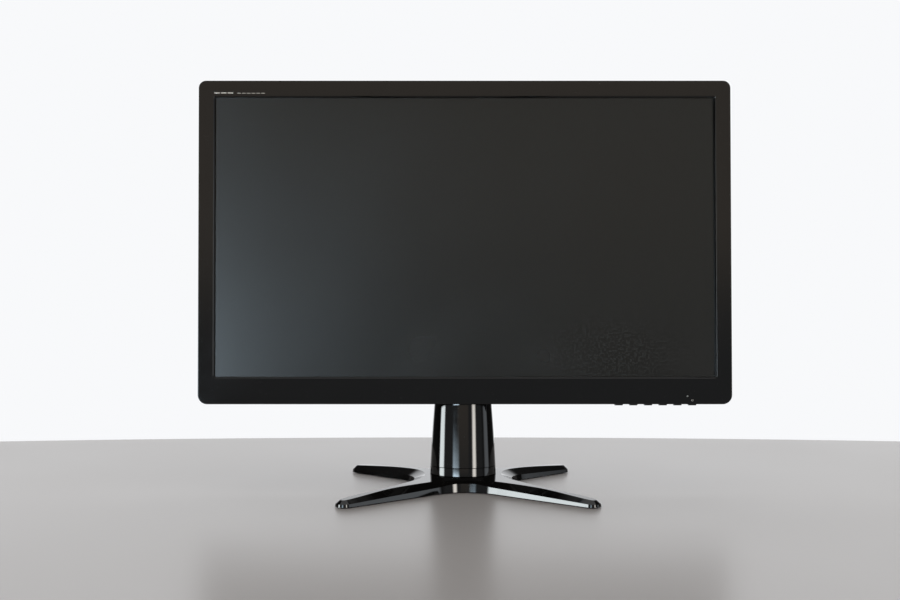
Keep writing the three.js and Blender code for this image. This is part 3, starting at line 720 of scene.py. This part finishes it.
def video_socket(word, x, half_housing, back, half_nose, rows, columns):
    """A blind-mate socket: its housing, hex jacks and tapered shell, and a block with its holes."""
    low, top, middle = BULGE["low"] + GAP, 30.0, (21.9 + back) / 2
    housing = ease(block((x - half_housing, x + half_housing), (21.9, back), (29, 42.6)), 0.4, 2)
    lean = 0.9
    outline = [(x - half_nose, middle + 4), (x + half_nose, middle + 4),
               (x + half_nose - lean, middle - 4), (x - half_nose + lean, middle - 4)]
    shell = ease(prism(outline, "Z", low, top), 0.7, 3)
    inside = [(x + (a - x) * (1 - 1.1 / half_nose), middle + (b - middle) * 0.82) for a, b in outline]
    shell = cut(shell, prism(inside, "Z", low - 1, top - 1))
    jacks = []
    for side in (-1, 1):
        centre = (x + side * (half_housing - 2.9), middle)
        jack = ease(lathe([(2.4, low), (2.4, top)], "Z", centre, 6), 0.25, 2)
        jacks.append(cut(jack, lathe([(1.3, low - 1), (1.3, low + 3)], "Z", centre, 20)))
    node = f"{word}_socket"
    place(merge([housing, shell, *jacks]), f"{word}_socket_shell", IN_PANEL, "panel",
          "bright_steel", [node])
    core = prism([(x + (a - x) * 0.98, middle + (b - middle) * 0.98) for a, b in inside], "Z",
                 low + 0.6, top - 0.4)
    holes = [lathe([(0.42, low - 1), (0.42, low + 3)], "Z",
                   (x + (column - (columns - 1) / 2) * 2.4, middle + (row - (rows - 1) / 2) * 2), 12)
             for row in range(rows) for column in range(columns)]
    place(cut(core, merge(holes)), f"{word}_socket_core", IN_PANEL, "panel", "satin_black", [node])


def power_inlet():
    mouth = BULGE["low"] + GAP
    housing = ease(block((INLET_X - 14, INLET_X + 14), (19.9, 39), (mouth, 44)), 0.8, 3)
    cavity = block((INLET_X - 12, INLET_X + 12), (21.5, 37.5), (mouth - 1, 40))
    housing = ease(cut(housing, cavity), 0.35, 2, 60)
    place(housing, "power_inlet_body", IN_PANEL, "panel", "satin_black", ["power_inlet"])
    blades = [ease(block((INLET_X + dx - 1, INLET_X + dx + 1), (y, y + 4), (mouth + 5, 41)), 0.35, 2)
              for dx, y in ((-7, 28), (7, 28), (0, 32))]
    place(merge(blades), "power_inlet_blades", IN_PANEL, "panel", "bright_steel", ["power_inlet"])


def printed_marks():
    """Plain printed bars at the upper left and a small broken ring at the power key."""
    ink = 0.02
    top = PANEL["height"] - 12.0
    bars = [block((x, x + 5.2), (-ink, 0.1), (top - 0.4, top + 0.7)) for x in (-240, -233.6, -227.2)]
    bars += [block((x, x + 3.4), (-ink, 0.1), (top - 0.4, top + 0.1))
             for x in (-218, -213.4, -208.8, -204.2, -199.6, -195)]
    turn = [math.radians(a) for a in range(120, 421, 15)]
    ring = [(216.8 + r * math.cos(a), 3.9 + r * math.sin(a)) for r, arcs in
            ((1.0, turn), (0.75, turn[::-1])) for a in arcs]
    bars.append(prism(ring, "Y", -ink, 0.1))
    place(merge(bars), "printed_marks", IN_PANEL, "panel", "white_film")


# ------------------------------------------------------------------ hinge


def hinge_plate():
    """A plate on the floor of the channel, with an ear on each side of the column."""
    y, z = hinge_in_panel.y, hinge_in_panel.z
    front, radius = CHANNEL["floor"] + GAP, EAR["radius"]
    base = prism(rectangle(-31, 31, 50, 94, 3), "Y", front, front + 2.5)
    outline = [(front + 1, 52), *arc(y, z, radius, -63, 63, 16), (front + 1, 92)]
    ears = merge([prism(outline, "X", *sorted((side * EAR["inner"], side * EAR["outer"])))
                  for side in (-1, 1)])
    bore = lathe([(3.9, -40), (3.9, 40)], "X", (y, z), 40)
    holes = merge([lathe([(2.3, 15), (2.3, 25)], "Y", centre, 24) for centre in hinge_screw_places()])
    plate = ease(cut(join(base, ears), bore, holes), 0.3, 2, 50)
    place(plate, "hinge_plate_pressing", IN_PANEL, "panel", "steel", ["hinge_plate"])


def hinge_fittings(side, word):
    """The shaft, spring washer and nut on one side of the column."""
    centre = (HINGE_Y, HINGE_Z)

    def along(profile):
        return [(radius, side * x) for radius, x in profile]

    shaft = lathe(along([(5.1, 9.5), (5.5, 9.9), (5.5, 10.9), (5.1, 11.3), (3.5, 11.3), (3.5, 31.6),
                         (3.1, 32)]), "X", centre, 48)
    place(shaft, f"hinge_shaft_pin_{word}", IN_STAND, "stand", "bright_steel", [f"hinge_shaft_{word}"])
    washer = lathe(along([(3.8, 26.75), (3.8, 27.95), (6.9, 27.95), (7, 27.7), (7, 27), (6.9, 26.75)]),
                   "X", centre, 48, ring=True)
    place(washer, f"hinge_washer_{word}", IN_STAND, "stand", "bright_steel",
          [f"spring_washer_{word}"])
    nut = lathe(along([(6.4, 28.3), (6.4, 31.5)]), "X", centre, 6)
    nut = keep(nut, lathe(along([(5.7, 28.3), (6.5, 28.8), (6.5, 31), (5.7, 31.5)]), "X", centre, 48))
    nut = cut(nut, lathe(along([(3.8, 20), (3.8, 40)]), "X", centre, 32))
    place(ease(nut, 0.12, 2, 40), f"hinge_hex_nut_{word}", IN_STAND, "stand", "bright_steel",
          [f"hinge_nut_{word}"])


# ------------------------------------------------------------------ stand: column


def column_section(z):
    """Half width, half depth and middle of the column at a height."""
    rise = z - COLUMN["foot"]
    crown = min(1.0, max(0.0, (z - HINGE_Z) / (COLUMN["top"] + 0.6 - HINGE_Z)))
    full = math.sqrt(1 - crown * crown)
    return ((32.9 - 0.04 * z - 0.00025 * z * z) * (0.6 + 0.4 * full),
            (24.7 - 0.0794 * rise) * full, 24 + 0.0638 * rise)


def column_body(heights, inset, steps=96):
    rings = []
    for z in heights:
        half, depth, middle = column_section(z)
        angles = [2 * math.pi * (i + 0.5) / steps for i in range(steps)]
        rings.append([((half - inset) * math.cos(a), middle + (depth - inset) * math.sin(a), z)
                      for a in angles])
    return loft(rings)


def column_shell(side, word):
    """One half of the column's cover: side -1 is its front and 1 its rear."""
    start, top = COLUMN["collar_top"] + GAP, COLUMN["top"]
    crown = [HINGE_Z + (top - HINGE_Z) * math.sin(math.radians(a)) for a in range(0, 91, 9)]
    outer = column_body([start, 40, 60, 80, 100, 120, 136, *crown], 0)
    inner = column_body([start - 1, 50, 80, 120, HINGE_Z, 161], WALL)
    bore = lathe([(4.6, -40), (4.6, 40)], "X", (HINGE_Y, HINGE_Z), 32)
    low, high = column_section(0)[2], column_section(200)[2]
    edge, far = side * GAP / 2, side * 80
    half_space = prism([(low + edge, 0), (high + edge, 200), (high + far, 200), (low + far, 0)],
                       "X", -60, 60)
    shell = keep(cut(outer, inner, bore), half_space)
    shell = ease(shell, 0.25, 2, 50)
    place(shell, f"column_{word}_cover", IN_STAND, "stand", "gloss_black", [f"column_{word}_shell"])


def base_collar():
    collar = cut(column_body([COLUMN["foot"] + GAP, 15, COLUMN["collar_top"]], 0),
                 column_body([COLUMN["foot"] - 1, COLUMN["collar_top"] + 1], WALL))
    place(ease(collar, 0.3, 3, 50), "column_collar", IN_STAND, "stand", "gloss_black", ["base_collar"])


# ------------------------------------------------------------------ stand: base


def half_outline():
    """One side of the star, from the front of the hub round both legs to its back."""
    front, rear = FRONT_TIP, REAR_TIP
    points = [(0, -24.3)]
    points += curve(points[-1], (13, -24.3), (26, -33.5), 14)
    points += arc(front["x"], front["y"], front["radius"], -126, 43, 20)
    points += curve(points[-1], (76, -40), (54, -3), 26)
    points += curve(points[-1], (46, 16), (50, 30), 16)
    points += curve(points[-1], (51.5, 38), (60, 45.5), 12)
    points += arc(rear["x"], rear["y"], rear["radius"], -40, 120, 20)
    points += curve((30, 62), (16, 56.5), (0, 56.5), 14)
    return points


def subdivided(points, longest=6.0):
    """The same closed outline with its long straight stretches divided."""
    result = []
    for (x0, y0), (x1, y1) in zip(points, points[1:] + points[:1]):
        steps = max(1, math.ceil(math.hypot(x1 - x0, y1 - y0) / longest))
        result += [(x0 + (x1 - x0) * i / steps, y0 + (y1 - y0) * i / steps) for i in range(steps)]
    return result


def star_outline():
    right = half_outline()
    left = [(-x, y) for x, y in right[1:-1][::-1]]
    return subdivided(right + left)


def inset_outline(points, distance):
    """The outline moved inwards by a distance that each point chooses."""
    moved = []
    for i, (x, y) in enumerate(points):
        before, after = points[i - 1], points[(i + 1) % len(points)]
        dx, dy = after[0] - before[0], after[1] - before[1]
        length = math.hypot(dx, dy)
        d = distance((x, y))
        moved.append((x - dy / length * d, y + dx / length * d))
    return moved


def smoothstep(x, low, high):
    t = min(1.0, max(0.0, (x - low) / (high - low)))
    return t * t * (3 - 2 * t)


def ridge_height(p):
    return STAR["top"] - 0.00042 * max(0.0, math.hypot(*p) - 50) ** 2


def arc_blend(p):
    return 1 - smoothstep(abs(p[0]), 8, 26)


def wall_height(p):
    return 8 - 0.029 * math.hypot(*p) + 1.6 * arc_blend(p)


def bevel_width(p):
    leg = 11.3 + (4.6 - 11.3) * smoothstep(math.hypot(*p), 82, 142)
    return leg + (6 - leg) * arc_blend(p)


def star_body(skin, bottom):
    outline = star_outline()
    foot = inset_outline(outline, lambda p: skin)
    wall = inset_outline(outline, lambda p: skin + DRAFT * (wall_height(p) - bottom))
    ridge = inset_outline(outline, lambda p: bevel_width(p) + skin * 0.3)

    def lift(points, height):
        return [(x, y, height(p)) for (x, y), p in zip(points, outline)]

    def crest(p):
        return ridge_height(p) - skin

    return loft([lift(foot, lambda p: bottom), lift(wall, lambda p: wall_height(p) - skin * 0.6),
                 [(x, y, crest((x, y))) for x, y in ridge]], top=crest)


def base_star():
    star = ease(star_body(0, STAR["bottom"]), 0.3, 3, 9)
    star = cut(star, star_body(STAR["wall"], STAR["bottom"] - 1))
    place(star, "base_star_moulding", IN_STAND, "stand", "gloss_black", ["base_star"], smooth=25)


def rubber_feet():
    for x, y in ((-110, -89.5), (110, -89.5), (-100, 89.5), (100, 89.5)):
        word = f"{'front' if y < 0 else 'rear'}_{'left' if x < 0 else 'right'}"
        foot = lathe([(5.6, 0), (5.9, 0.12), (6, 0.35), (6, 1)], "Z", (x, y), 40)
        place(foot, f"rubber_pad_{word}", IN_STAND, "stand", "rubber", [f"rubber_foot_{word}"])


def base_plate():
    outline = inset_outline(star_outline(), lambda p: 3.0)
    access = lathe([(12, 0), (12, 5)], "Z", (0, BASE_SCREW_Y), 64)
    plate = ease(cut(prism(outline, "Z", 1.3, 2.8), access), 0.25, 2, 60)
    place(plate, "base_cover_plate", IN_STAND, "stand", "steel", ["base_plate"])


def thumb_screw():
    screw = lathe([(8.4, 4.6), (9, 5.2), (9, 7.3), (8.6, 7.8), (3, 7.8), (3, 18.6), (2.5, 19)], "Z",
                  (0, BASE_SCREW_Y), 48)
    grip = block((-9.5, 9.5), (BASE_SCREW_Y - 1, BASE_SCREW_Y + 1), (4, 5.6))
    place(ease(cut(screw, grip), 0.15, 2, 50), "base_thumb_screw", IN_STAND, "stand", "steel",
          ["base_screw"])


# ------------------------------------------------------------------ floor and light


def floor():
    """A pale oval table whose far edge lies a third of a metre behind the monitor."""
    across, along, middle = 2.37, 1.25, -0.92  # metres
    outline = [(across * math.cos(a), middle + along * math.sin(a))
               for a in (math.radians(i) for i in range(0, 360, 2))]
    top = make_object("floor", [(x, y, 0) for x, y in outline], [tuple(range(len(outline)))])
    made, graph, shader, where = new_material("floor", IOR=1.5, Specular_IOR_Level=0.4)
    cloud = graph.noise(where, 3, 4.0)
    tint = graph.blend(cloud, colour(0.34, 0.325, 0.317), colour(0.365, 0.35, 0.342))
    graph.feed(shader.inputs["Base Color"], tint)
    graph.feed(shader.inputs["Roughness"], graph.span(cloud, 0.3, 0.7, 0.285, 0.31))
    top.data.materials.append(made)


# What shiny surfaces mirror: soft lights in a dark studio, each with its left, right, lower and
# upper edge, its radiance and its softness. Edges and softness are in degrees. Azimuth 0 is behind
# the camera and grows towards +X.
SOFT_LIGHTS = [
    # a dim studio in front of the object, with a warm wall above it
    (-60, 60, -30, 24, (0.24, 0.25, 0.26), 8.0),
    (-15, 15, 7, 20, (0.60, 0.53, 0.46), 3.0),
    # a tall light on the left, a low cool card, a tall light on the right and a weak one beyond it
    (-75, -57, -30, 10, (15.0, 16.2, 16.5), 3.0),
    (-27, -11, -30, 5, (20.0, 25.0, 29.0), 3.0),
    (26, 35, -30, 10, (15.0, 14.3, 13.3), 3.0),
    (66, 84, -30, 10, (1.4, 1.5, 1.6), 4.0),
]


def between(graph, value, low, high, soft):
    """1 between two bounds and 0 outside them."""
    return graph.math("MULTIPLY", graph.span(value, low - soft, low + soft),
                      graph.span(value, high - soft, high + soft, 1.0, 0.0))


def surroundings():
    """A white backdrop for the camera, soft white light, and a dark studio for reflections."""
    world = bpy.data.worlds.new("studio")
    world.use_nodes = True
    scene.world = world
    graph = Graph(world.node_tree)
    background = world.node_tree.nodes["Background"]
    direction = graph.add("ShaderNodeTexCoord").outputs["Generated"]
    axes = graph.add("ShaderNodeSeparateXYZ", {"Vector": direction}).outputs
    turn = graph.math("ARCTAN2", axes["X"], graph.math("MULTIPLY", axes["Y"], -1.0))
    azimuth = graph.math("MULTIPLY", turn, 180 / math.pi)
    elevation = graph.math("MULTIPLY", graph.math("ARCSINE", axes["Z"]), 180 / math.pi)

    lit = graph.blend(graph.span(axes["Y"], -0.25, 0.35), colour(0.64, 0.61, 0.58),
                      colour(0.97, 0.98, 1.0))
    white_wall = graph.math("MULTIPLY", graph.span(axes["Y"], 0.72, 0.86),
                            graph.span(elevation, 24, 36, 1.0, 0.0))
    mirrored = graph.blend(white_wall, colour(0.035, 0.034, 0.034), colour(1.22, 1.24, 1.27))
    wave = graph.math("SUBTRACT", graph.noise(direction, 9, 2.0), 0.5)
    azimuth = graph.math("MULTIPLY_ADD", wave, 0.9, azimuth)
    for left, right, low, high, radiance, soft in SOFT_LIGHTS:
        share = graph.math("MULTIPLY", between(graph, azimuth, left, right, soft),
                           between(graph, elevation, low, high, soft))
        mirrored = graph.blend(share, mirrored, colour(*radiance))

    path = graph.add("ShaderNodeLightPath").outputs
    seen = graph.blend(path["Is Glossy Ray"], lit, mirrored)
    seen = graph.blend(path["Is Camera Ray"], seen, colour(0.939, 0.947, 0.963))
    graph.feed(background.inputs["Color"], seen)


def softbox():
    """One wide soft light overhead, which the camera doesn't see."""
    light = bpy.data.lights.new("overhead", "AREA")
    light.shape = "RECTANGLE"
    light.size, light.size_y = 2.4, 1.8  # metres
    light.energy = 12  # watts
    lamp = bpy.data.objects.new("overhead", light)
    lamp.location = (0, 0.3, 2.2)
    lamp.visible_camera = False
    scene.collection.objects.link(lamp)


# ------------------------------------------------------------------ making it

front_bezel()
for number in range(KEYS["count"]):
    key(number)
lamp_lens()
screen()
rear_cover()
for number, spot in enumerate(COVER_SCREWS, 1):
    machine_screw(f"cover_screw_head_{number}", *spot, (3.2, 1.5), (10.9, 38.8, 41.2),
                  f"cover_screw_{number}")
for number, spot in enumerate(hinge_screw_places(), 1):
    machine_screw(f"hinge_screw_head_{number}", *spot, (4.0, 1.9), (12.8, 20.6, 22.8),
                  f"hinge_screw_{number}")
video_socket("vga", VGA_X, 15.4, 34.4, 8.2, 3, 5)
video_socket("dvi", DVI_X, 18.5, 36.0, 12.2, 3, 8)
power_inlet()
printed_marks()
hinge_plate()
hinge_fittings(-1, "left")
hinge_fittings(1, "right")
column_shell(-1, "front")
column_shell(1, "rear")
base_collar()
base_star()
base_plate()
thumb_screw()
rubber_feet()
floor()
surroundings()
softbox()
scene.view_settings.view_transform = "Standard"
